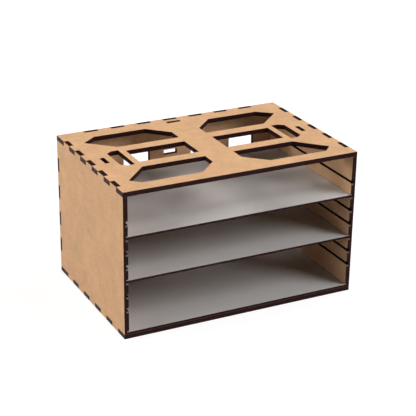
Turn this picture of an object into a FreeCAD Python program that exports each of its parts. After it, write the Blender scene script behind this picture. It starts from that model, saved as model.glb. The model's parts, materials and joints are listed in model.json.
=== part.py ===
import FreeCAD, Part
import math
import os
import Sketcher

# Bench-top organizer: an open-fronted box of finger-jointed fibreboard, with three
# sheet shelves that slide in slots along its side walls. Millimetres.
#
# Frame: the origin is the centre of the underside, the open front faces -Y, +Z is up.
#
# How the real box goes together:
#   floor and top    one board each, full width and depth, notched for the walls' fingers
#   side walls       an outer skin and an inner runner, glued face to face
#   runner           a comb: the shelf slots are cut through it from its front edge
#   back panel       set between the walls, its fingers come out through all four edges
#   shelves          plain sheets, held by the slots alone, so they pull out forwards

SIZES = {
    # the box, measured over everything
    "outer_width": 338.0,
    "outer_depth": 228.0,
    "outer_height": 204.0,
    # stock
    "board_thickness": 6.35,
    "skin_thickness": 3.175,
    "runner_thickness": 3.175,
    "shelf_thickness": 3.0,
    # finger joints, the same on every edge
    "finger_width": 20.0,
    "finger_pitch": 40.0,
    # shelf slots in the runners
    "first_slot_level": 40.0,
    "slot_pitch": 20.0,
    "slot_clearance": 0.3,
    "mouth_radius": 3.0,
    "runner_spine": 10.0,
    "shelf_side_clearance": 0.3,
    "shelf_end_clearance": 0.5,
    # openings in the top; an inset is measured from the outer face of a side wall
    "rim_depth": 21.0,
    "bar_depth": 18.0,
    "centre_strip_width": 42.0,
    "middle_window_inset": 62.0,
    "middle_window_depth": 44.0,
    "side_slot_inset": 35.0,
    "side_slot_width": 18.0,
    "side_slot_length": 56.0,
    "side_slot_cut_across": 8.0,
    "side_slot_cut_along": 6.0,
    "corner_point_inset": 23.0,
    "corner_shoulder_inset": 58.0,
    "corner_inner_cut": 28.0,
    "corner_front_cut": 12.7,
    "corner_rear_cut_across": 21.0,
    "corner_rear_cut_along": 17.0,
    # connector slots, where the tabs of a second box on top would go
    "connector_length": 20.0,
    "connector_width": 6.0,
    "connector_side_inset": 19.3,
    "connector_rear_gap": 6.8,
    # windows and the small tab slot in the back; an offset is from the centre line
    "back_window_inner_offset": 32.5,
    "back_window_outer_offset": 94.0,
    "back_window_width": 40.0,
    "back_window_end_margin": 36.0,
    "back_window_corner": 6.0,
    "tab_slot_length": 20.4,
    "tab_slot_height": 7.0,
    "tab_slot_level": 152.5,
}

SLOT_COUNT = 7          # slots above the lowest one, which lies on the floor
UPPER_SHELF_SLOT = 6    # counted from the bottom, so the second from the top
MIDDLE_SHELF_SLOT = 3
VOLUME_TOLERANCE = 1e-3


class Size:
    """A length or count that knows its number and the sheet formula it comes from."""

    def __init__(self, value, formula):
        self.value = value
        self.formula = formula

    def __add__(self, other):
        other = as_size(other)
        return Size(self.value + other.value, f"({self.formula} + {other.formula})")

    def __sub__(self, other):
        other = as_size(other)
        return Size(self.value - other.value, f"({self.formula} - {other.formula})")

    def __mul__(self, other):
        other = as_size(other)
        return Size(self.value * other.value, f"({self.formula} * {other.formula})")

    def __truediv__(self, other):
        other = as_size(other)
        return Size(self.value / other.value, f"({self.formula} / {other.formula})")

    def __neg__(self):
        return self * -1

    def whole(self):
        """The number rounded down, as the sheet's floor() does it."""
        return Size(int(self.value // 1), f"floor({self.formula})")


def as_size(item):
    """Plain numbers become sizes too, so that the two kinds mix in one formula."""
    return item if isinstance(item, Size) else Size(item, f"({item})")


doc = FreeCAD.newDocument("organizer")
sheet = doc.addObject("Spreadsheet::Sheet", "sizes")
for row, (alias, number) in enumerate(SIZES.items(), start=1):
    sheet.set(f"A{row}", alias.replace("_", " "))
    sheet.set(f"B{row}", str(number))
    sheet.setAlias(f"B{row}", alias)
doc.recompute()


def size(alias):
    return Size(SIZES[alias], f"sizes.{alias}")


# Sizes that several pieces share.
half_width = size("outer_width") / 2
half_depth = size("outer_depth") / 2
height = size("outer_height")
board = size("board_thickness")
skin = size("skin_thickness")
runner = size("runner_thickness")
side_wall = skin + runner
finger = size("finger_width")
finger_pitch = size("finger_pitch")
back_face = half_depth - board
top_underside = height - board
# The walls' fingers and the pattern of the top are centred between the open
# front and the inner face of the back panel.
bay_middle = -board / 2
slot_height = size("shelf_thickness") + size("slot_clearance")
slot_end = back_face - size("runner_spine")
slot_pitch = size("slot_pitch")


def finger_count(edge_length):
    """As many fingers as fit and leave at least one finger's width at each end."""
    return ((edge_length - finger * 3) / finger_pitch).whole() + 1


def first_finger(middle, edge_length):
    """Where the first finger of a centred row starts."""
    run = (finger_count(edge_length) - 1) * finger_pitch + finger
    return middle - run / 2


across_count = finger_count(size("outer_width"))
across_start = first_finger(as_size(0), size("outer_width"))
along_count = finger_count(size("outer_depth") - board)
along_start = first_finger(bay_middle, size("outer_depth") - board)
upright_count = finger_count(height)
upright_start = first_finger(height / 2, height)


def slot_floor(number):
    """Level of the lower lip of a shelf slot, counted from the bottom."""
    return size("first_slot_level") + slot_pitch * (number - 1)


# ---- building blocks -------------------------------------------------------

def new_body(label, x, y, z):
    """An empty body, placed by formulas."""
    body = doc.addObject("PartDesign::Body", label)
    body.Label = label
    body.Placement.Base = FreeCAD.Vector(x.value, y.value, z.value)
    for letter, distance in (("x", x), ("y", y), ("z", z)):
        body.setExpression(f"Placement.Base.{letter}", distance.formula)
    return body


def draw(body, name, plane, outlines):
    """A sketch of closed outlines, every corner held by two bound distances.

    A corner with a third entry starts a quarter circle instead of a straight edge;
    the entry is how far across the circle's centre lies.
    """
    sketch = body.newObject("Sketcher::SketchObject", name)
    support = [item for item in body.Origin.OriginFeatures if item.Role == plane][0]
    sketch.AttachmentSupport = [(support, "")]
    sketch.MapMode = "FlatFace"
    for corners in outlines:
        first = sketch.GeometryCount
        count = len(corners)
        points = [FreeCAD.Vector(corner[0].value, corner[1].value, 0) for corner in corners]
        ends = []
        for index, corner in enumerate(corners):
            start, stop = points[index], points[(index + 1) % count]
            if len(corner) == 3:
                edge, start_end, stop_end = quarter_circle(start, stop, corner[2].value)
            else:
                edge, start_end, stop_end = Part.LineSegment(start, stop), 1, 2
            sketch.addGeometry(edge, False)
            ends.append((start_end, stop_end))
        for index in range(count):
            following = (index + 1) % count
            sketch.addConstraint(Sketcher.Constraint(
                "Coincident", first + index, ends[index][1], first + following, ends[following][0]))
        for index, corner in enumerate(corners):
            hold(sketch, "DistanceX", first + index, ends[index][0], corner[0])
            hold(sketch, "DistanceY", first + index, ends[index][0], corner[1])
            if len(corner) == 3:
                hold(sketch, "DistanceX", first + index, 3, corner[2])
    return sketch


def hold(sketch, kind, geometry, point, distance):
    """Binds one coordinate of a start (1), end (2) or centre (3) point to a formula."""
    held = Sketcher.Constraint(kind, geometry, point, distance.value)
    number = sketch.addConstraint(held)
    sketch.setExpression(f"Constraints[{number}]", distance.formula)


def quarter_circle(start, stop, centre_across):
    """The arc between two points, and which of its ends is the start and which the stop."""
    centre_up = start.y if abs(stop.x - centre_across) < abs(start.x - centre_across) else stop.y
    centre = FreeCAD.Vector(centre_across, centre_up, 0)
    circle = Part.Circle(centre, FreeCAD.Vector(0, 0, 1), (start - centre).Length)
    angles = [math.atan2(point.y - centre.y, point.x - centre.x) for point in (start, stop)]
    if (angles[1] - angles[0]) % (2 * math.pi) < math.pi:
        return Part.ArcOfCircle(circle, angles[0], angles[1]), 1, 2
    return Part.ArcOfCircle(circle, angles[1], angles[0]), 2, 1


def rectangle(left, bottom, width, tall):
    left, bottom = as_size(left), as_size(bottom)
    right, top = left + width, bottom + tall
    return [(left, bottom), (right, bottom), (right, top), (left, top)]


def mirrored(corners):
    """The same outline on the other side of the centre line."""
    return [(-across, up) for across, up in corners]


def pad(body, name, sketch, thickness):
    feature = body.newObject("PartDesign::Pad", name)
    feature.Profile = sketch
    feature.Length = thickness.value
    feature.setExpression("Length", thickness.formula)
    body.Tip = feature
    return feature


def cut(body, name, sketch, thickness):
    """A pocket through the board, in the direction the board was padded."""
    feature = body.newObject("PartDesign::Pocket", name)
    feature.Profile = sketch
    feature.Length = thickness.value
    feature.setExpression("Length", thickness.formula)
    feature.Reversed = True
    body.Tip = feature
    return feature


def repeat(body, name, original, sketch, axis, pitch, count):
    """A row of copies along one axis of the sketch."""
    pattern = body.newObject("PartDesign::LinearPattern", name)
    pattern.Originals = [original]
    pattern.Direction = (sketch, [axis])
    pattern.Mode = "Spacing"
    pattern.Offset = pitch.value
    pattern.setExpression("Offset", pitch.formula)
    count = as_size(count)
    pattern.Occurrences = int(count.value)
    pattern.setExpression("Occurrences", count.formula)
    body.Tip = pattern
    return pattern


# ---- floor and top ---------------------------------------------------------

def notched_board(label, level, notch_depth):
    """A full-size board with notches for the fingers of the walls and the back."""
    body = new_body(label, as_size(0), as_size(0), level)
    outline = rectangle(-half_width, -half_depth, half_width * 2, half_depth * 2)
    sketch = draw(body, label + "_outline", "XY_Plane", [outline])
    pad(body, label + "_blank", sketch, board)

    left = rectangle(-half_width, along_start, notch_depth, finger)
    sketch = draw(body, label + "_side_notch_sketch", "XY_Plane", [left, mirrored(left)])
    notch = cut(body, label + "_side_notch", sketch, board)
    repeat(body, label + "_side_notches", notch, sketch, "V_Axis", finger_pitch, along_count)

    rear = rectangle(across_start, back_face, finger, board)
    sketch = draw(body, label + "_rear_notch_sketch", "XY_Plane", [rear])
    notch = cut(body, label + "_rear_notch", sketch, board)
    repeat(body, label + "_rear_notches", notch, sketch, "H_Axis", finger_pitch, across_count)
    return body


def corner_openings():
    """The four large openings of the top, seen from above, left pair first."""
    rim_front = -half_depth + size("rim_depth")
    rim_rear = back_face - size("rim_depth")
    bar_outer_edge = size("middle_window_depth") / 2 + size("bar_depth")
    inner = -size("centre_strip_width") / 2
    point = -half_width + size("corner_point_inset")
    shoulder = -half_width + size("corner_shoulder_inset")
    inner_cut = size("corner_inner_cut")
    front_cut = size("corner_front_cut")
    rear_across = size("corner_rear_cut_across")
    rear_along = size("corner_rear_cut_along")
    front = [
        (shoulder, bay_middle - bar_outer_edge),
        (point, rim_front + front_cut),
        (point + front_cut, rim_front),
        (inner - inner_cut, rim_front),
        (inner, rim_front + inner_cut),
        (inner, bay_middle - bar_outer_edge),
    ]
    rear = [
        (shoulder, bay_middle + bar_outer_edge),
        (inner, bay_middle + bar_outer_edge),
        (inner, rim_rear - inner_cut),
        (inner - inner_cut, rim_rear),
        (point + rear_across, rim_rear),
        (point, rim_rear - rear_along),
    ]
    return [front, rear, mirrored(front), mirrored(rear)]


def middle_windows():
    """The two rectangles of the top, between its bars."""
    outer = -half_width + size("middle_window_inset")
    inner = -size("centre_strip_width") / 2
    depth = size("middle_window_depth")
    left = rectangle(outer, bay_middle - depth / 2, inner - outer, depth)
    return [left, mirrored(left)]


def side_slots():
    """The two long slots of the top, with cut outer corners."""
    outer = -half_width + size("side_slot_inset")
    inner = outer + size("side_slot_width")
    front = bay_middle - size("side_slot_length") / 2
    rear = bay_middle + size("side_slot_length") / 2
    across = size("side_slot_cut_across")
    along = size("side_slot_cut_along")
    left = [
        (inner, front),
        (inner, rear),
        (outer + across, rear),
        (outer, rear - along),
        (outer, front + along),
        (outer + across, front),
    ]
    return [left, mirrored(left)]


def connector_slots():
    length = size("connector_length")
    width = size("connector_width")
    outer = -half_width + size("connector_side_inset")
    left = rectangle(outer, bay_middle - length / 2, width, length)
    rear_edge = back_face - size("connector_rear_gap")
    rear = rectangle(-length / 2, rear_edge - width, length, width)
    return [left, mirrored(left), rear]


floor_panel = notched_board("floor_panel", as_size(0), skin)

top_panel = notched_board("top_panel", top_underside, side_wall)
for opening_name, outlines in (
    ("corner_openings", corner_openings()),
    ("middle_windows", middle_windows()),
    ("side_slots", side_slots()),
    ("connector_slots", connector_slots()),
):
    opening_sketch = draw(top_panel, opening_name + "_sketch", "XY_Plane", outlines)
    cut(top_panel, opening_name, opening_sketch, board)


# ---- back ------------------------------------------------------------------

def cut_cornered(left, bottom, width, tall, corner):
    """A rectangle with all four corners cut at 45 degrees."""
    right, top = left + width, bottom + tall
    return [
        (left + corner, bottom),
        (right - corner, bottom),
        (right, bottom + corner),
        (right, top - corner),
        (right - corner, top),
        (left + corner, top),
        (left, top - corner),
        (left, bottom + corner),
    ]


def back_windows():
    """Four upright windows, centred on the height of the panel."""
    margin = size("back_window_end_margin")
    outlines = []
    for alias in ("back_window_inner_offset", "back_window_outer_offset"):
        right = cut_cornered(size(alias), margin, size("back_window_width"),
                             height - margin * 2, size("back_window_corner"))
        outlines += [right, mirrored(right)]
    return outlines


def tab_slot():
    """The small slot high on the centre line, as long as a connector."""
    length = size("tab_slot_length")
    return rectangle(-length / 2, size("tab_slot_level"), length, size("tab_slot_height"))


# The body lies in the panel's outer face, and the board is padded forwards.
back_panel = new_body("back_panel", as_size(0), half_depth, as_size(0))
core_left = -half_width + side_wall
core = rectangle(core_left, board, -core_left * 2, top_underside - board)
sketch = draw(back_panel, "back_outline", "XZ_Plane", [core])
pad(back_panel, "back_blank", sketch, board)

low_finger = rectangle(across_start, 0, finger, board)
high_finger = rectangle(across_start, top_underside, finger, board)
sketch = draw(back_panel, "back_cross_finger_sketch", "XZ_Plane", [low_finger, high_finger])
original = pad(back_panel, "back_cross_finger", sketch, board)
repeat(back_panel, "back_cross_fingers", original, sketch, "H_Axis", finger_pitch, across_count)

left_finger = rectangle(-half_width, upright_start, side_wall, finger)
sketch = draw(back_panel, "back_end_finger_sketch", "XZ_Plane", [left_finger, mirrored(left_finger)])
original = pad(back_panel, "back_end_finger", sketch, board)
repeat(back_panel, "back_end_fingers", original, sketch, "V_Axis", finger_pitch, upright_count)

sketch = draw(back_panel, "back_openings_sketch", "XZ_Plane", back_windows() + [tab_slot()])
cut(back_panel, "back_openings", sketch, board)


# ---- side walls ------------------------------------------------------------

def wall_sheet(label, x, thickness, foot_fingers):
    """One layer of a side wall, with fingers for the top and notches for the back."""
    body = new_body(label, x, as_size(0), as_size(0))
    sheet_outline = rectangle(-half_depth, board, half_depth * 2, top_underside - board)
    sketch = draw(body, label + "_outline", "YZ_Plane", [sheet_outline])
    pad(body, label + "_blank", sketch, thickness)

    fingers = [rectangle(along_start, top_underside, finger, board)]
    if foot_fingers:
        fingers.append(rectangle(along_start, 0, finger, board))
    sketch = draw(body, label + "_finger_sketch", "YZ_Plane", fingers)
    original = pad(body, label + "_finger", sketch, thickness)
    repeat(body, label + "_fingers", original, sketch, "H_Axis", finger_pitch, along_count)

    notch = rectangle(back_face, upright_start, board, finger)
    sketch = draw(body, label + "_notch_sketch", "YZ_Plane", [notch])
    original = cut(body, label + "_notch", sketch, thickness)
    repeat(body, label + "_notches", original, sketch, "V_Axis", finger_pitch, upright_count)
    return body


def comb_sheet(label, x):
    """The runner: a wall sheet with shelf slots, the lips rounded at their mouths."""
    body = wall_sheet(label, x, runner, foot_fingers=False)
    mouth = -half_depth
    radius = size("mouth_radius")
    throat = mouth + radius

    low = slot_floor(1)
    high = low + slot_height
    slot = [
        (mouth, low - radius, throat),
        (throat, low),
        (slot_end, low),
        (slot_end, high),
        (throat, high, throat),
        (mouth, high + radius),
    ]
    sketch = draw(body, label + "_slot_sketch", "YZ_Plane", [slot])
    original = cut(body, label + "_slot", sketch, runner)
    repeat(body, label + "_slots", original, sketch, "V_Axis", slot_pitch, SLOT_COUNT)

    # The lowest slot has the floor as its lower lip.
    high = board + slot_height
    floor_slot = [
        (mouth, board),
        (slot_end, board),
        (slot_end, high),
        (throat, high, throat),
        (mouth, high + radius),
    ]
    sketch = draw(body, label + "_floor_slot_sketch", "YZ_Plane", [floor_slot])
    cut(body, label + "_floor_slot", sketch, runner)
    return body


left_skin = wall_sheet("left_wall_skin", -half_width, skin, foot_fingers=True)
left_runner = comb_sheet("left_runner", -half_width + skin)
right_runner = comb_sheet("right_runner", half_width - side_wall)
right_skin = wall_sheet("right_wall_skin", half_width - skin, skin, foot_fingers=True)


# ---- shelves ---------------------------------------------------------------

def shelf(label, level):
    """A plain sheet that runs in the slots and stops against the runners' spines."""
    body = new_body(label, as_size(0), as_size(0), level)
    reach = half_width - skin - size("shelf_side_clearance")
    depth = slot_end + half_depth - size("shelf_end_clearance")
    outline = rectangle(-reach, -half_depth, reach * 2, depth)
    sketch = draw(body, label + "_outline", "XY_Plane", [outline])
    pad(body, label + "_sheet", sketch, size("shelf_thickness"))
    return body


upper_shelf = shelf("upper_shelf", slot_floor(UPPER_SHELF_SLOT))
middle_shelf = shelf("middle_shelf", slot_floor(MIDDLE_SHELF_SLOT))
lower_shelf = shelf("lower_shelf", board)


# ---- checks and export -----------------------------------------------------

doc.recompute()

for item in doc.Objects:
    if "Invalid" in item.State or "Error" in item.State:
        raise RuntimeError(f"{item.Name} failed: {item.State}")
    if item.TypeId == "PartDesign::Pocket":
        removed = item.BaseFeature.Shape.Volume - item.Shape.Volume
        if removed < VOLUME_TOLERANCE:
            raise RuntimeError(f"{item.Name} cuts nothing")
    if item.TypeId == "PartDesign::LinearPattern":
        changed = abs(item.Shape.Volume - item.BaseFeature.Shape.Volume)
        if item.Occurrences > 1 and changed < VOLUME_TOLERANCE:
            raise RuntimeError(f"{item.Name} repeats nothing")

bodies = [item for item in doc.Objects if item.TypeId == "PartDesign::Body"]
for body in bodies:
    if body.Shape.isNull() or not body.Shape.isValid() or len(body.Shape.Solids) != 1:
        raise RuntimeError(f"{body.Label} is not one sound solid")

os.makedirs("parts", exist_ok=True)
for body in bodies:
    body.Shape.exportStep(f"parts/{body.Label}.step")
    box = body.Shape.BoundBox
    print(f"{body.Label:16} {box.XLength:7.2f} x {box.YLength:7.2f} x {box.ZLength:7.2f} mm,",
          f"volume {body.Shape.Volume / 1000:8.2f} cm3")
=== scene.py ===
# %% [markdown]
# # A laser-cut organizer, dressed for its portrait
# The real box is ten flat sheets of fibreboard: a floor, a top, a back, two side walls made of
# two layers each, and three loose shelves. The sizes and the joints are settled by the CAD
# model, so this lesson starts by loading it and then gives every sheet its look.

# %% Load the fixed frame
import json
import math
import bmesh
import bpy
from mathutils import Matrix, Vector


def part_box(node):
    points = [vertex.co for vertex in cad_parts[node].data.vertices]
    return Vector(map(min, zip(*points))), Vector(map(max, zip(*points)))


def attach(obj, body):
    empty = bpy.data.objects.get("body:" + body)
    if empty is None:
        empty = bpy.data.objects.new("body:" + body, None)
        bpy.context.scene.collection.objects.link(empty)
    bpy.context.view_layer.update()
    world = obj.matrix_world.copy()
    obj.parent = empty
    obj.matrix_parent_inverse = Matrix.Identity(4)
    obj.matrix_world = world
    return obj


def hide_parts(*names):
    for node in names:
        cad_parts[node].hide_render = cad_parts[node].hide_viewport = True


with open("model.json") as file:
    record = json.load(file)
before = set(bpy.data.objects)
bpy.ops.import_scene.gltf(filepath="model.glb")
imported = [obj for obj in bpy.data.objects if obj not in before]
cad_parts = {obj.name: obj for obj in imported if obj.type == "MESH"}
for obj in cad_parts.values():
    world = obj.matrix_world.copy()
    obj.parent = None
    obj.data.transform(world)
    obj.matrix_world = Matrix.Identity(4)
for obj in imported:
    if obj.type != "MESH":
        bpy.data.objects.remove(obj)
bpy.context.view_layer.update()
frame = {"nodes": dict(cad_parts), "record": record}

MM = 0.001
print("sheets in the frame:", ", ".join(sorted(frame["nodes"])))

# %% [markdown]
# ## Which way each sheet lies
# A laser cuts a flat drawing straight through a sheet, so one direction says almost everything
# about a piece: the direction of its thickness. It is the shortest side of the sheet's box.
# The shelves have a finish of their own, so they are told apart by name.

# %% The thickness direction of every sheet
AXES = (Vector((1, 0, 0)), Vector((0, 1, 0)), Vector((0, 0, 1)))


def thickness_of(node):
    """The sheet's thickness in metres, and the number of the axis it is measured along."""
    low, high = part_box(node)
    sides = high - low
    axis = min(range(3), key=lambda number: sides[number])
    return sides[axis], axis


shelves = [node for node in frame["nodes"] if node.endswith("shelf")]
for node in sorted(frame["nodes"]):
    thickness, axis = thickness_of(node)
    print(f"{node}: {thickness / MM:.3f} mm thick along {'XYZ'[axis]}")

# %% [markdown]
# ## Small helpers for materials
# A procedural material is a graph. Each finish below is made of the same few steps, which are
# kept as functions: add a node and join its inputs, read the place on the object, and make a
# noise whose grain is given in millimetres. Object coordinates are in metres and every piece
# keeps its object at the origin, so a grain of 3 mm is 3 mm everywhere.

# %% A material and its nodes


def new_material(name):
    """An empty material with a Principled shader that is already joined to the output."""
    material = bpy.data.materials.new(name)
    material.use_nodes = True
    tree = material.node_tree
    tree.nodes.clear()
    output = tree.nodes.new("ShaderNodeOutputMaterial")
    shader = tree.nodes.new("ShaderNodeBsdfPrincipled")
    tree.links.new(shader.outputs[0], output.inputs["Surface"])
    return material, tree, shader


def add(tree, kind, inputs=None, **settings):
    """A node with its settings made and its inputs set or joined."""
    node = tree.nodes.new(kind)
    for key, value in settings.items():
        setattr(node, key, value)
    for key, value in (inputs or {}).items():
        if isinstance(value, bpy.types.NodeSocket):
            tree.links.new(value, node.inputs[key])
        else:
            node.inputs[key].default_value = value
    return node


print("materials start with", bpy.types.ShaderNodeBsdfPrincipled.bl_rna.name)

# %% Places and noises


def place_on_object(tree, flatten_axis=None, stretch=(1.0, 1.0, 1.0)):
    """Object coordinates. Flattened along an axis, a pattern doesn't change along it."""
    place = add(tree, "ShaderNodeTexCoord").outputs["Object"]
    scale = [1.0 / factor for factor in stretch]
    if flatten_axis is not None:
        scale[flatten_axis] = 0.0
    mapping = add(tree, "ShaderNodeMapping", {"Vector": place, "Scale": scale})
    return mapping.outputs[0]


def noise(tree, place, grain_mm, detail=2.0, distortion=0.0, roughness=0.5):
    """Smooth noise from 0 to 1 with lumps about grain_mm across."""
    values = {
        "Vector": place,
        "Scale": 1.0 / (grain_mm * MM),
        "Detail": detail,
        "Roughness": roughness,
        "Distortion": distortion,
    }
    return add(tree, "ShaderNodeTexNoise", values).outputs["Fac"]


print("a grain of 1 mm is a noise scale of", 1.0 / MM)

# %% Sums, ramps and colours


def math_node(tree, operation, first, second=0.0):
    node = add(tree, "ShaderNodeMath", {0: first, 1: second}, operation=operation)
    return node.outputs[0]


def swing(tree, value, amount):
    """A 0 to 1 noise turned into a swing of plus or minus half the amount."""
    centred = math_node(tree, "SUBTRACT", value, 0.5)
    return math_node(tree, "MULTIPLY", centred, amount)


def ramp(tree, value, low, high, start=0.0, end=1.0):
    """The value stretched from low..high to start..end, and held at the ends."""
    values = {"Value": value, "From Min": low, "From Max": high, "To Min": start, "To Max": end}
    return add(tree, "ShaderNodeMapRange", values, clamp=True).outputs["Result"]


def along_axes(tree, vector):
    """The X, Y and Z of a vector, as the outputs of one node."""
    return add(tree, "ShaderNodeSeparateXYZ", {0: vector}).outputs


def mix_colour(tree, factor, first, second):
    """The first colour where the factor is 0, and the second where it is 1."""
    node = add(tree, "ShaderNodeMix", data_type="RGBA")
    for key, value in (("Factor", factor), ("A", first), ("B", second)):
        socket = [item for item in node.inputs if item.name == key and item.enabled][0]
        if isinstance(value, bpy.types.NodeSocket):
            tree.links.new(value, socket)
        else:
            socket.default_value = value
    return [item for item in node.outputs if item.enabled][0]


def lighter(tree, colour, level):
    """The colour made lighter or darker by a level around 1."""
    node = add(tree, "ShaderNodeVectorMath", {0: colour, "Scale": level}, operation="SCALE")
    return node.outputs[0]


def roughen(tree, shader, height, strength, depth_mm):
    """Bumps in the surface, depth_mm deep where the height runs from 0 to 1."""
    values = {"Strength": strength, "Distance": depth_mm * MM, "Height": height}
    bump = add(tree, "ShaderNodeBump", values)
    tree.links.new(bump.outputs[0], shader.inputs["Normal"])


print("helpers ready: swing, ramp, mix_colour, lighter, roughen")

# %% [markdown]
# ## The face of the board
# Fibreboard is wood fibre pressed flat. Up close it is a felt of short fibres, with a few dark
# specks of bark, and from a step back it shows only faint clouds. An image could hold that,
# but noises of three sizes hold it at any distance: clouds, clumps of fibres and single fibres.
# The board also leans a little from pink to yellow, and all of it is drawn out a little along
# the depth of the box, as pressed fibre is. The specks are the rare peaks of one more noise.
# The faces inside the box are painted a little greyer and darker, as painted shade for the box's
# dim inside.

# %% Board face
BOARD_COLOUR = (0.676, 0.402, 0.2205, 1.0)
# Painted shade: the faces inside the box are a darker, greyer copy of the board.
SHADED_INSIDE_COLOUR = (0.605, 0.373, 0.213, 1.0)
BARK_COLOUR = (0.24, 0.13, 0.075, 1.0)
PINK_TINT = (1.013, 0.992, 1.004, 1.0)
YELLOW_TINT = (0.987, 1.008, 0.984, 1.0)
BOARD_ROUGHNESS = 0.62
BOARD_SHEEN = 0.12
DEPTH_STRETCH = (1.0, 1.25, 1.0)

# Each pattern: the grain in millimetres, and how far the board's lightness swings in all.
CLOUD_GRAIN, CLOUD_SWING = 30, 0.30
CLUMP_GRAIN, CLUMP_SWING = 11, 0.26
FIBRE_GRAIN, FIBRE_SWING = 2.0, 0.40
TINT_GRAIN = 18
TINT_PINK, TINT_YELLOW = 0.35, 0.65     # the noise at which each tint is full
SPECK_GRAIN = 2.2
SPECK_FAINT, SPECK_FULL = 0.735, 0.80   # the noise at which a speck starts and is full
SPECK_STRENGTH = 0.55
FELT_GRAIN, FELT_STRENGTH, FELT_DEPTH = 0.9, 0.25, 0.06


def board_face(name, colour):
    material, tree, shader = new_material(name)
    place = place_on_object(tree, stretch=DEPTH_STRETCH)
    clouds = swing(tree, noise(tree, place, CLOUD_GRAIN), CLOUD_SWING)
    clumps = swing(tree, noise(tree, place, CLUMP_GRAIN, distortion=0.4), CLUMP_SWING)
    fibres = swing(tree, noise(tree, place, FIBRE_GRAIN, detail=3, distortion=1.0), FIBRE_SWING)
    total = math_node(tree, "ADD", math_node(tree, "ADD", clouds, clumps), fibres)
    level = math_node(tree, "ADD", total, 1.0)

    leaning = ramp(tree, noise(tree, place, TINT_GRAIN), TINT_PINK, TINT_YELLOW)
    tint = mix_colour(tree, leaning, PINK_TINT, YELLOW_TINT)
    tinted = add(tree, "ShaderNodeVectorMath", {0: tint, 1: colour[:3]}, operation="MULTIPLY")
    board = lighter(tree, tinted.outputs[0], level)

    peaks = noise(tree, place, SPECK_GRAIN, detail=1, distortion=1.0)
    specks = ramp(tree, peaks, SPECK_FAINT, SPECK_FULL, end=SPECK_STRENGTH)
    speckled = mix_colour(tree, specks, board, BARK_COLOUR)
    tree.links.new(speckled, shader.inputs["Base Color"])
    shader.inputs["Roughness"].default_value = BOARD_ROUGHNESS
    shader.inputs["Specular IOR Level"].default_value = BOARD_SHEEN
    felt = noise(tree, place, FELT_GRAIN, detail=4, distortion=1.5)
    roughen(tree, shader, felt, FELT_STRENGTH, FELT_DEPTH)
    return material


board_finish = board_face("fibreboard_face", BOARD_COLOUR)
# The inside faces carry painted shade in their colour.
shaded_inside_finish = board_face("fibreboard_painted_inside_shade", SHADED_INSIDE_COLOUR)
print("board faces:", board_finish.name, shaded_inside_finish.name)

# %% [markdown]
# ## The cut edge
# The beam chars what it cuts, so every edge is nearly black with a brown cast. Its pulses leave
# fine lines straight through the thickness. Those lines follow from one trick: the place on the
# object is flattened along the sheet's thickness before the noise reads it, so the pattern
# can't change on the way through. Each thickness direction has a finish of its own.
#
# Most of the char has a faint gloss. Two kinds of edge are dull, and both are painted darker as
# painted shade: those that end up level in the box, which get a plain, slightly redder dark in
# place of the lighter scorch, and those of windows, which get plain char. A point is on a
# window's edge when it lies well inside the piece's outline.
#
# In the narrow slots of the runners the level faces are painted near black, as painted shade,
# while the finger ends along the top aren't. Two places are painted pale, as painted highlights:
# the foot of a slot's lower lip, where its mouth is rounded, and the front arris of the floor.
# The surface's own direction finds both: only such a place looks forwards and a little upwards.

# %% Values of the char
CHAR_COLOUR = (0.0265, 0.0091, 0.0096, 1.0)
SCORCH_COLOUR = (0.050, 0.022, 0.017, 1.0)
# Painted shade: level char faces get this plain dark in place of the lighter scorch.
LEVEL_SHADE_COLOUR = (0.030, 0.0084, 0.0074, 1.0)
# Painted shade: level faces in the runners' slots are near black.
SLOT_SHADE_COLOUR = (0.008, 0.004, 0.004, 1.0)
# Painted highlights: the foot of a slot's lip, and the floor's front arris.
LIP_HIGHLIGHT_COLOUR = (0.22, 0.165, 0.135, 1.0)
FLOOR_ARRIS_HIGHLIGHT_COLOUR = (0.19, 0.155, 0.130, 1.0)
CHAR_SHEEN = 0.035
GLOSSY_CHAR, DULL_CHAR = 0.36, 1.0      # roughness
LINE_GRAIN, LINE_STRENGTH, LINE_DEPTH = 0.45, 0.5, 0.05
PATCH_GRAIN, PATCH_SWING = 7, 0.8
SCORCH_FAINT, SCORCH_FULL = 0.45, 0.85  # the noise at which the scorch starts and is full
SCORCH_STRENGTH = 0.6
LIP_RISE = 0.05         # how far up a lip's foot looks, as the sine of the angle
LEVEL_RISE = 0.6        # a face that looks further up or down than this counts as level
RIM = 10 * MM           # windows are further than this inside a piece's outline
print(f"lines {LINE_GRAIN} mm apart, windows from {RIM / MM:.0f} mm inside the outline")

# %% Telling windows from the outline


def inside_outline(tree, node, axis):
    """1 where a point is further than RIM inside the node's outline, seen along the axis."""
    low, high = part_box(node)
    place = along_axes(tree, place_on_object(tree))
    inside = 1.0
    for other in range(3):
        if other == axis:
            continue
        middle = (low[other] + high[other]) / 2
        reach = (high[other] - low[other]) / 2
        distance = math_node(tree, "ABSOLUTE", math_node(tree, "SUBTRACT", place[other], middle))
        within = math_node(tree, "LESS_THAN", distance, reach - RIM)
        inside = math_node(tree, "MULTIPLY", within, inside)
    return inside


windowed_nodes = ("top_panel", "back_panel")
print("sheets with windows:", ", ".join(windowed_nodes))

# %% Charred edge


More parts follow.
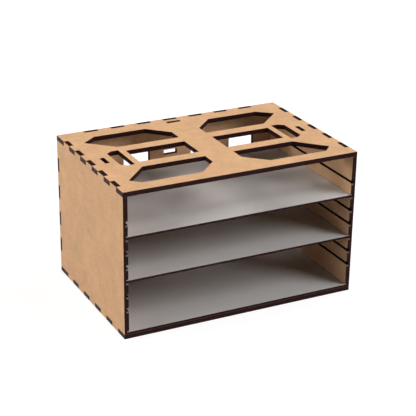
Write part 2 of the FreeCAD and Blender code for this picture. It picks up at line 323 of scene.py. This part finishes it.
def charred_edge(name, axis, slotted=False, highlight_colour=None, windowed=None):
    """The finish of cut edges.

    A pale colour may be given for a painted highlight where a face looks forwards and a little
    upwards. Slotted sheets get painted shade on the level faces in their slots. A windowed node
    is named, so that its window edges can be told apart and painted plain char, as painted shade.
    """
    material, tree, shader = new_material(name)
    around = place_on_object(tree)
    lines = noise(tree, place_on_object(tree, flatten_axis=axis), LINE_GRAIN, detail=3,
                  roughness=0.65)
    patches = swing(tree, noise(tree, around, PATCH_GRAIN), PATCH_SWING)
    scorch = ramp(tree, math_node(tree, "ADD", patches, lines), SCORCH_FAINT, SCORCH_FULL,
                  end=SCORCH_STRENGTH)
    colour = mix_colour(tree, scorch, CHAR_COLOUR, SCORCH_COLOUR)

    facing = along_axes(tree, add(tree, "ShaderNodeNewGeometry").outputs["True Normal"])
    rise = math_node(tree, "ABSOLUTE", facing["Z"])
    steep = math_node(tree, "LESS_THAN", rise, LEVEL_RISE)
    glossy = steep
    if windowed:
        # Painted shade: window edges get plain char, without the lighter scorch.
        outside = math_node(tree, "SUBTRACT", 1.0, inside_outline(tree, windowed, axis))
        colour = mix_colour(tree, outside, CHAR_COLOUR, colour)
        glossy = math_node(tree, "MULTIPLY", glossy, outside)
    smoothing = math_node(tree, "MULTIPLY", glossy, DULL_CHAR - GLOSSY_CHAR)
    roughness = math_node(tree, "SUBTRACT", DULL_CHAR, smoothing)
    tree.links.new(roughness, shader.inputs["Roughness"])

    # Painted shade: level faces get a plain dark colour, near black in the runners' slots.
    level_shade = LEVEL_SHADE_COLOUR
    if slotted:
        rim_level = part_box("left_runner")[1].z - RIM
        below_rim = math_node(tree, "LESS_THAN", along_axes(tree, around)["Z"], rim_level)
        level_shade = mix_colour(tree, below_rim, LEVEL_SHADE_COLOUR, SLOT_SHADE_COLOUR)
    colour = mix_colour(tree, steep, level_shade, colour)
    # Painted highlight: pale where a face looks forwards and a little upwards.
    if highlight_colour:
        rising = math_node(tree, "GREATER_THAN", facing["Z"], LIP_RISE)
        leaning = math_node(tree, "LESS_THAN", facing["Y"], -LEVEL_RISE)
        highlighted = math_node(tree, "MULTIPLY", math_node(tree, "MULTIPLY", rising, leaning), steep)
        colour = mix_colour(tree, highlighted, colour, highlight_colour)
    tree.links.new(colour, shader.inputs["Base Color"])
    shader.inputs["Specular IOR Level"].default_value = CHAR_SHEEN
    roughen(tree, shader, lines, LINE_STRENGTH, LINE_DEPTH)
    return material


print("ready to char edges, with roughness from", GLOSSY_CHAR, "to", DULL_CHAR)

# %% An edge finish for each direction and each special place
cut_finish = [charred_edge(f"charred_edge_{'xyz'[axis]}", axis) for axis in range(3)]
# The runner gets painted shade in its slots and painted highlights on its lips, the floor a
# painted highlight on its front arris.
runner_cut_finish = charred_edge("charred_edge_runner", 0, slotted=True, highlight_colour=LIP_HIGHLIGHT_COLOUR)
floor_cut_finish = charred_edge("charred_edge_floor_panel", 2, highlight_colour=FLOOR_ARRIS_HIGHLIGHT_COLOUR)
window_cut_finish = {
    node: charred_edge("charred_edge_" + node, thickness_of(node)[1], windowed=node)
    for node in windowed_nodes
}
for material in (*cut_finish, runner_cut_finish, floor_cut_finish, *window_cut_finish.values()):
    print("edge finish:", material.name)

# %% [markdown]
# ## Behind the slots
# Deep in each slot the outer sheet of the wall shows, and there it is painted in the char's
# colour as painted shade in the slot. The painted shade lies in level bands, one for each slot. A
# wave along Z that repeats with the slots' pitch says how far a point is from the nearest slot,
# and a strip along the front edge covers the wider mouths.

# %% Painted shade behind the slots
SLOT_PITCH = 20 * MM
BAND_HALF_HEIGHT = 2.1 * MM
MOUTH_STRIP = 4.5 * MM
SLOT_BACK_ROUGHNESS = 0.7
SLOT_BACK_SHEEN = 0.1


def slot_shade_bands(name, colour):
    material, tree, shader = new_material(name)
    place = along_axes(tree, place_on_object(tree))
    low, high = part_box("upper_shelf")
    above_slot = math_node(tree, "SUBTRACT", place["Z"], (low.z + high.z) / 2)
    from_slot = math_node(tree, "PINGPONG", above_slot, SLOT_PITCH / 2)
    in_band = math_node(tree, "LESS_THAN", from_slot, BAND_HALF_HEIGHT)
    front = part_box("left_wall_skin")[0].y
    in_mouth = math_node(tree, "LESS_THAN", place["Y"], front + MOUTH_STRIP)
    # Painted shade: the char's colour in the bands and along the mouths.
    shaded = math_node(tree, "MAXIMUM", in_band, in_mouth)
    banded = mix_colour(tree, shaded, colour, CHAR_COLOUR)
    tree.links.new(banded, shader.inputs["Base Color"])
    shader.inputs["Roughness"].default_value = SLOT_BACK_ROUGHNESS
    shader.inputs["Specular IOR Level"].default_value = SLOT_BACK_SHEEN
    return material


# The slot backs are the inside colour with bands of painted shade.
slot_shade_finish = slot_shade_bands("painted_slot_shade", SHADED_INSIDE_COLOUR)
print("slot backs:", slot_shade_finish.name)

# %% [markdown]
# ## The shelves' white face
# The shelves are thin hardboard with a smooth white coat on one side, as used for cupboard
# backs. The coat is not quite even: it has a faint bloom, and it shines a little more than the
# bare board. The underside is plain brown hardboard, darker than the box.

# %% White coat and brown back
COAT_COLOUR = (0.550, 0.536, 0.526, 1.0)
HARDBOARD_COLOUR = (0.36, 0.22, 0.13, 1.0)
COAT_SHEEN = 0.35
BLOOM_GRAIN, BLOOM_SWING = 38, 0.05
GRIT_GRAIN, GRIT_SWING = 1.1, 0.03
RUB_GRAIN = 14
RUB_LOW, RUB_HIGH = 0.3, 0.7            # the noise at which the coat is smoothest and dullest
COAT_SMOOTH, COAT_DULL = 0.42, 0.55     # roughness
ORANGE_PEEL_GRAIN, ORANGE_PEEL_STRENGTH, ORANGE_PEEL_DEPTH = 1.8, 0.12, 0.04


def white_coat():
    material, tree, shader = new_material("white_coat")
    place = place_on_object(tree)
    bloom = swing(tree, noise(tree, place, BLOOM_GRAIN), BLOOM_SWING)
    grit = swing(tree, noise(tree, place, GRIT_GRAIN), GRIT_SWING)
    level = math_node(tree, "ADD", math_node(tree, "ADD", bloom, grit), 1.0)
    tree.links.new(lighter(tree, COAT_COLOUR[:3], level), shader.inputs["Base Color"])
    rub = noise(tree, place, RUB_GRAIN, detail=3, distortion=0.8)
    roughness = ramp(tree, rub, RUB_LOW, RUB_HIGH, COAT_SMOOTH, COAT_DULL)
    tree.links.new(roughness, shader.inputs["Roughness"])
    shader.inputs["Specular IOR Level"].default_value = COAT_SHEEN
    peel = noise(tree, place, ORANGE_PEEL_GRAIN)
    roughen(tree, shader, peel, ORANGE_PEEL_STRENGTH, ORANGE_PEEL_DEPTH)
    return material


coat_finish = white_coat()
hardboard_finish = board_face("hardboard_back", HARDBOARD_COLOUR)
print("shelf faces:", coat_finish.name, hardboard_finish.name)

# %% [markdown]
# ## From drawing to sheet
# All ten pieces follow one rule: a flat drawing pushed through the thickness of the sheet. A
# Geometry Nodes tree states the rule once. It keeps only the lower face of a CAD sheet, which
# is the drawing with its notches and windows, and extrudes it. The extrude node tells its new
# top from its new sides, so the tree can put the char on exactly what the laser cut. The
# direction, the thickness and the three finishes are the tree's inputs.

# %% What the tree is given
WELD = 0.01 * MM                # points closer than this are one point
BOARD_THICKNESS = 6.35 * MM     # the tree's own value, until a sheet gives its thickness
LOWER_FACE = -0.9               # a face that looks down more squarely than this is the drawing

SHEET_INPUTS = (
    ("Geometry", "NodeSocketGeometry", None),
    ("Sheet Normal", "NodeSocketVector", (0.0, 0.0, 1.0)),
    ("Thickness", "NodeSocketFloat", BOARD_THICKNESS),
    ("Weld Distance", "NodeSocketFloat", WELD),
    ("Upper Finish", "NodeSocketMaterial", None),
    ("Lower Finish", "NodeSocketMaterial", None),
    ("Cut Finish", "NodeSocketMaterial", None),
)
print("the tree takes", ", ".join(row[0] for row in SHEET_INPUTS))

# %% The laser-cut sheet tree


def make_sheet_tree():
    tree = bpy.data.node_groups.new("laser_cut_sheet", "GeometryNodeTree")
    for name, kind, value in SHEET_INPUTS:
        socket = tree.interface.new_socket(name, in_out="INPUT", socket_type=kind)
        if value is not None:
            socket.default_value = value
    tree.interface.new_socket("Geometry", in_out="OUTPUT", socket_type="NodeSocketGeometry")
    given = tree.nodes.new("NodeGroupInput").outputs

    # The drawing: the lower face alone.
    welded = add(tree, "GeometryNodeMergeByDistance",
                 {"Geometry": given["Geometry"], "Distance": given["Weld Distance"]})
    normal = add(tree, "GeometryNodeInputNormal").outputs["True Normal"]
    squareness = add(tree, "ShaderNodeVectorMath", {0: normal, 1: given["Sheet Normal"]},
                     operation="DOT_PRODUCT").outputs["Value"]
    not_lower = add(tree, "FunctionNodeCompare", {0: squareness, 1: LOWER_FACE},
                    operation="GREATER_THAN")
    drawing = add(tree, "GeometryNodeDeleteGeometry",
                  {"Geometry": welded.outputs[0], "Selection": not_lower.outputs[0]},
                  domain="FACE")

    # The sheet: the drawing pushed through, and closed by the drawing itself.
    pushed = add(tree, "GeometryNodeExtrudeMesh",
                 {"Mesh": drawing.outputs[0], "Offset": given["Sheet Normal"],
                  "Offset Scale": given["Thickness"], "Individual": False})
    outward = add(tree, "GeometryNodeFlipFaces", {"Mesh": pushed.outputs["Mesh"]})
    closed = add(tree, "GeometryNodeJoinGeometry")
    tree.links.new(drawing.outputs[0], closed.inputs[0])
    tree.links.new(outward.outputs[0], closed.inputs[0])
    sewn = add(tree, "GeometryNodeMergeByDistance",
               {"Geometry": closed.outputs[0], "Distance": given["Weld Distance"]})

    # The finishes.
    shape = add(tree, "GeometryNodeRealizeInstances", {"Geometry": sewn.outputs[0]}).outputs[0]
    for finish, where in (("Lower Finish", None), ("Upper Finish", pushed.outputs["Top"]),
                          ("Cut Finish", pushed.outputs["Side"])):
        values = {"Geometry": shape, "Material": given[finish]}
        if where is not None:
            values["Selection"] = where
        shape = add(tree, "GeometryNodeSetMaterial", values).outputs[0]
    tree.links.new(shape, tree.nodes.new("NodeGroupOutput").inputs[0])
    return tree


sheet_tree = make_sheet_tree()
sheet_inputs = [item for item in sheet_tree.interface.items_tree if item.in_out == "INPUT"]
print("tree:", sheet_tree.name, "with", len(sheet_tree.nodes), "nodes")

# %% [markdown]
# ## Breaking the arrises
# A wipe with sandpaper takes the sharpness off every cut edge. A tiny bevel does the same here.
# It is far too small to see by itself, but it gives each edge a line of its own, and it opens
# the hairline between a finger and its notch. The two sheets of a wall are the exception: they
# are cut as one, so the edges where they meet stay sharp and the seam doesn't show. Weights on
# the edges tell the bevel which to take.

# %% Which edges get the bevel
ARRIS = 0.2 * MM
ARRIS_SEGMENTS = 2
ARRIS_ANGLE = math.radians(30)      # an edge that turns more than this is sharp
FLAT_ANGLE = math.radians(0.5)      # triangles that turn less than this are one face
GLUE_LINES = {
    "left_wall_skin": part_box("left_wall_skin")[1].x,
    "left_runner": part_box("left_runner")[0].x,
    "right_runner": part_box("right_runner")[1].x,
    "right_wall_skin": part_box("right_wall_skin")[0].x,
}


def is_glued(edge, glue_line):
    return glue_line is not None and all(abs(end.co.x - glue_line) < WELD for end in edge.verts)


def mark_arrises(mesh, glue_line):
    """Joins flat triangles into whole faces, and weights the edges that the bevel takes."""
    drawn = bmesh.new()
    drawn.from_mesh(mesh)
    bmesh.ops.dissolve_limit(drawn, angle_limit=FLAT_ANGLE, verts=drawn.verts,
                             edges=drawn.edges, delimit={"MATERIAL"})
    weight = drawn.edges.layers.float.new("bevel_weight_edge")
    for edge in drawn.edges:
        sharp = edge.calc_face_angle(0.0) > ARRIS_ANGLE
        edge[weight] = 1.0 if sharp and not is_glued(edge, glue_line) else 0.0
    drawn.to_mesh(mesh)
    drawn.free()


print("glue lines at", {node: round(line / MM, 3) for node, line in GLUE_LINES.items()})

# %% [markdown]
# ## Cutting the sheets
# Each CAD sheet lends a copy of its mesh to the tree. The tree's result becomes a plain mesh,
# on which the edges for the bevel are marked. Then the bevel is made real as well, so that a
# finished piece carries no modifiers.

# %% One sheet


def plain_mesh(obj, name):
    """The object's mesh with its modifiers made real, as a mesh of its own."""
    graph = bpy.context.evaluated_depsgraph_get()
    mesh = bpy.data.meshes.new_from_object(obj.evaluated_get(graph))
    mesh.name = name
    return mesh


def cut_sheet(node, upper, lower, cut):
    """The dressed piece for a CAD sheet: cut by the tree, with its arrises broken."""
    thickness, axis = thickness_of(node)
    piece = bpy.data.objects.new(node + "_cut", frame["nodes"][node].data.copy())
    piece.data.materials.clear()
    piece.data.materials.append(lower)
    bpy.context.scene.collection.objects.link(piece)
    rule = piece.modifiers.new("laser_cut_sheet", "NODES")
    rule.node_group = sheet_tree
    values = {"Sheet Normal": AXES[axis], "Thickness": thickness, "Weld Distance": WELD,
              "Upper Finish": upper, "Lower Finish": lower, "Cut Finish": cut}
    for item in sheet_inputs:
        if item.name in values:
            rule[item.identifier] = values[item.name]
    shaped = plain_mesh(piece, node + "_shaped")
    piece.modifiers.clear()
    piece.data = shaped

    mark_arrises(shaped, GLUE_LINES.get(node))
    arris = piece.modifiers.new("arris", "BEVEL")
    arris.width = ARRIS
    arris.segments = ARRIS_SEGMENTS
    arris.limit_method = "WEIGHT"
    arris.loop_slide = False
    arris.material = list(shaped.materials).index(cut)
    finished = plain_mesh(piece, node + "_finished")
    piece.modifiers.clear()
    piece.data = finished
    return piece


print("ready to cut", len(frame["nodes"]), "sheets")

# %% [markdown]
# ## Ten sheets, each with three finishes
# A sheet has an upper face, a lower face and its cut edges, where upper means the side that
# looks along X, Y or Z. So the left wall's skin shows the board on its lower side, and the bands
# of painted shade on its upper side, towards the runner. Each finished piece stands for its CAD
# sheet and rides on the same body.

# %% Make the pieces
FINISHES = {}
for node in frame["nodes"]:
    axis = thickness_of(node)[1]
    if node in shelves:
        FINISHES[node] = (coat_finish, hardboard_finish, cut_finish[axis])
    elif "runner" in node:
        FINISHES[node] = (shaded_inside_finish, shaded_inside_finish, runner_cut_finish)
    elif node == "left_wall_skin":
        FINISHES[node] = (slot_shade_finish, board_finish, cut_finish[axis])
    elif node == "right_wall_skin":
        FINISHES[node] = (board_finish, slot_shade_finish, cut_finish[axis])
    elif node == "floor_panel":
        FINISHES[node] = (shaded_inside_finish, board_finish, floor_cut_finish)
    else:
        FINISHES[node] = (board_finish, shaded_inside_finish, window_cut_finish[node])

bodies = frame["record"]["behaviour"]["bodies"]
body_of = {node: body for body, members in bodies.items() for node in members}
for node in sorted(frame["nodes"]):
    piece = cut_sheet(node, *FINISHES[node])
    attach(piece, body_of[node])
    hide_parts(node)
    print(f"{piece.name}: {len(piece.data.polygons)} faces, rides on {body_of[node]}")

# %% [markdown]
# ## Floor
# A product on a white sweep needs a floor that reads as white and still holds the shadow. The
# floor is pale paper that curves up far away, so no horizon shows. What the camera or a
# reflection sees of it is lifted, so that only the paper turns white and the object gets no
# more light than before.

# %% Paper
PAPER_COLOUR = (0.35, 0.35, 0.35, 1.0)
PAPER_LIFT = 0.78


def sweep_paper():
    """Diffuse paper with a lift that only the camera, reflections and see-through rays get."""
    material = bpy.data.materials.new("sweep_paper")
    material.use_nodes = True
    tree = material.node_tree
    tree.nodes.clear()
    ray = add(tree, "ShaderNodeLightPath").outputs
    seen = math_node(tree, "MAXIMUM", ray["Is Camera Ray"], ray["Is Glossy Ray"])
    seen = math_node(tree, "MAXIMUM", seen, ray["Is Transmission Ray"])
    strength = math_node(tree, "MULTIPLY", seen, PAPER_LIFT)
    lift = add(tree, "ShaderNodeEmission", {"Strength": strength})
    paper = add(tree, "ShaderNodeBsdfDiffuse", {"Color": PAPER_COLOUR})
    both = add(tree, "ShaderNodeAddShader", {0: paper.outputs[0], 1: lift.outputs[0]})
    add(tree, "ShaderNodeOutputMaterial", {"Surface": both.outputs[0]})
    return material


paper_finish = sweep_paper()
print("paper:", paper_finish.name)

# %% Sweep
# Metres, but for the drop: the floor lies just under the box, so that the two don't touch.
FLOOR_DROP = 0.1 * MM
FLAT_RADIUS = 12.0
SWEEP_RADIUS = 15.0
SWEEP_HEIGHT = 3.0
SWEEP_STEPS = 8
SWEEP_SIDES = 96


def make_floor():
    """A flat disc whose rim curves up, as rings of a turned shape."""
    rings = [(FLAT_RADIUS / 2, 0.0)]
    for step in range(SWEEP_STEPS + 1):
        turn = math.pi / 2 * step / SWEEP_STEPS
        rings.append((FLAT_RADIUS + (SWEEP_RADIUS - FLAT_RADIUS) * math.sin(turn),
                      SWEEP_HEIGHT * (1 - math.cos(turn))))
    points = [(0.0, 0.0, -FLOOR_DROP)]
    for radius, rise in rings:
        for side in range(SWEEP_SIDES):
            angle = 2 * math.pi * side / SWEEP_SIDES
            points.append((radius * math.cos(angle), radius * math.sin(angle),
                           rise - FLOOR_DROP))
    faces = []
    for side in range(SWEEP_SIDES):
        following = (side + 1) % SWEEP_SIDES
        faces.append((0, 1 + side, 1 + following))
        for ring in range(len(rings) - 1):
            inner = 1 + ring * SWEEP_SIDES
            outer = inner + SWEEP_SIDES
            faces.append((inner + side, outer + side, outer + following, inner + following))
    mesh = bpy.data.meshes.new("floor")
    mesh.from_pydata(points, [], faces)
    mesh.materials.append(paper_finish)
    floor = bpy.data.objects.new("floor", mesh)
    bpy.context.scene.collection.objects.link(floor)
    return floor


floor = make_floor()
print(f"floor: {len(floor.data.polygons)} faces, {2 * SWEEP_RADIUS:.0f} m across")

# %% [markdown]
# ## Light
# The lamps are wide suns. Their light is as even on the far floor as near the object, and a
# wide sun throws a soft shadow. Five of them, from the front, both sides and the back, stand
# for the soft boxes of a studio, and a dim white sky fills what none of them reaches.

# %% Lamps and sky
SKY_COLOUR = (1.0, 1.0, 1.0, 1.0)
SKY_STRENGTH = 0.04
SUN_DISTANCE = 3.0      # metres; a sun's light comes from its direction alone
SUNS = (
    # name, azimuth from the front towards the left, elevation, width, light on a facing surface
    ("front_right_sun", -45, 35, 34, 0.585),
    ("front_right_low_sun", -45, 12, 34, 0.245),
    ("rear_left_sun", 135, 35, 34, 0.690),
    ("left_low_sun", 90, 12, 34, 0.440),
    ("right_wide_sun", -90, 35, 70, 0.350),
)


def direction(azimuth, elevation):
    """Towards a place at these angles in radians. Azimuth 0 is the front, and grows leftwards."""
    return Vector((-math.sin(azimuth) * math.cos(elevation),
                   -math.cos(azimuth) * math.cos(elevation),
                   math.sin(elevation)))


def add_sun(name, azimuth, elevation, width, level):
    """A sun, and the light that it gives to a level surface."""
    lamp = bpy.data.lights.new(name, "SUN")
    lamp.angle = math.radians(width)
    lamp.energy = level * math.pi
    sun = bpy.data.objects.new(name, lamp)
    towards = direction(math.radians(azimuth), math.radians(elevation))
    sun.rotation_euler = towards.to_track_quat("Z", "Y").to_euler()
    sun.location = towards * SUN_DISTANCE
    bpy.context.scene.collection.objects.link(sun)
    return level * towards.z


on_the_top = sum(add_sun(*row) for row in SUNS)
world = bpy.data.worlds.new("sky")
world.use_nodes = True
world.node_tree.nodes["Background"].inputs["Color"].default_value = SKY_COLOUR
world.node_tree.nodes["Background"].inputs["Strength"].default_value = SKY_STRENGTH
bpy.context.scene.world = world
bpy.context.scene.view_settings.view_transform = "Standard"
print(f"light on a level surface: {on_the_top + SKY_STRENGTH:.2f}")

# %% [markdown]
# ## Camera
# The view is from the front, the left and above, with a long lens, so that upright edges
# converge only a little. Two angles give the camera's direction and three lengths its place,
# and a small shift puts the object off the middle of the frame without turning the camera.

# %% Camera
FRAME_PIXELS = 416
FOCAL_PIXELS = 1306.2
SENSOR_MM = 36.0
AZIMUTH = math.radians(25.047)      # from the front towards the left
ELEVATION = math.radians(24.287)
CAMERA_PLACE = Vector((-746.7, -1475.3, 810.8)) * MM
OPTIC_CENTRE = (165.95, 237.58)     # pixels from the frame's left and top

camera = bpy.data.cameras.new("camera")
camera.sensor_width = SENSOR_MM
camera.lens = FOCAL_PIXELS * SENSOR_MM / FRAME_PIXELS
camera.shift_x = (FRAME_PIXELS / 2 - OPTIC_CENTRE[0]) / FRAME_PIXELS
camera.shift_y = (OPTIC_CENTRE[1] - FRAME_PIXELS / 2) / FRAME_PIXELS
viewer = bpy.data.objects.new("camera", camera)
viewer.location = CAMERA_PLACE
viewer.rotation_euler = (-direction(AZIMUTH, ELEVATION)).to_track_quat("-Z", "Y").to_euler()
bpy.context.scene.collection.objects.link(viewer)
bpy.context.scene.camera = viewer
print(f"lens {camera.lens:.1f} mm, shift {camera.shift_x:.3f}, {camera.shift_y:.3f}")

# %% Count the dressed pieces
print("dressed pieces:", len(FINISHES))
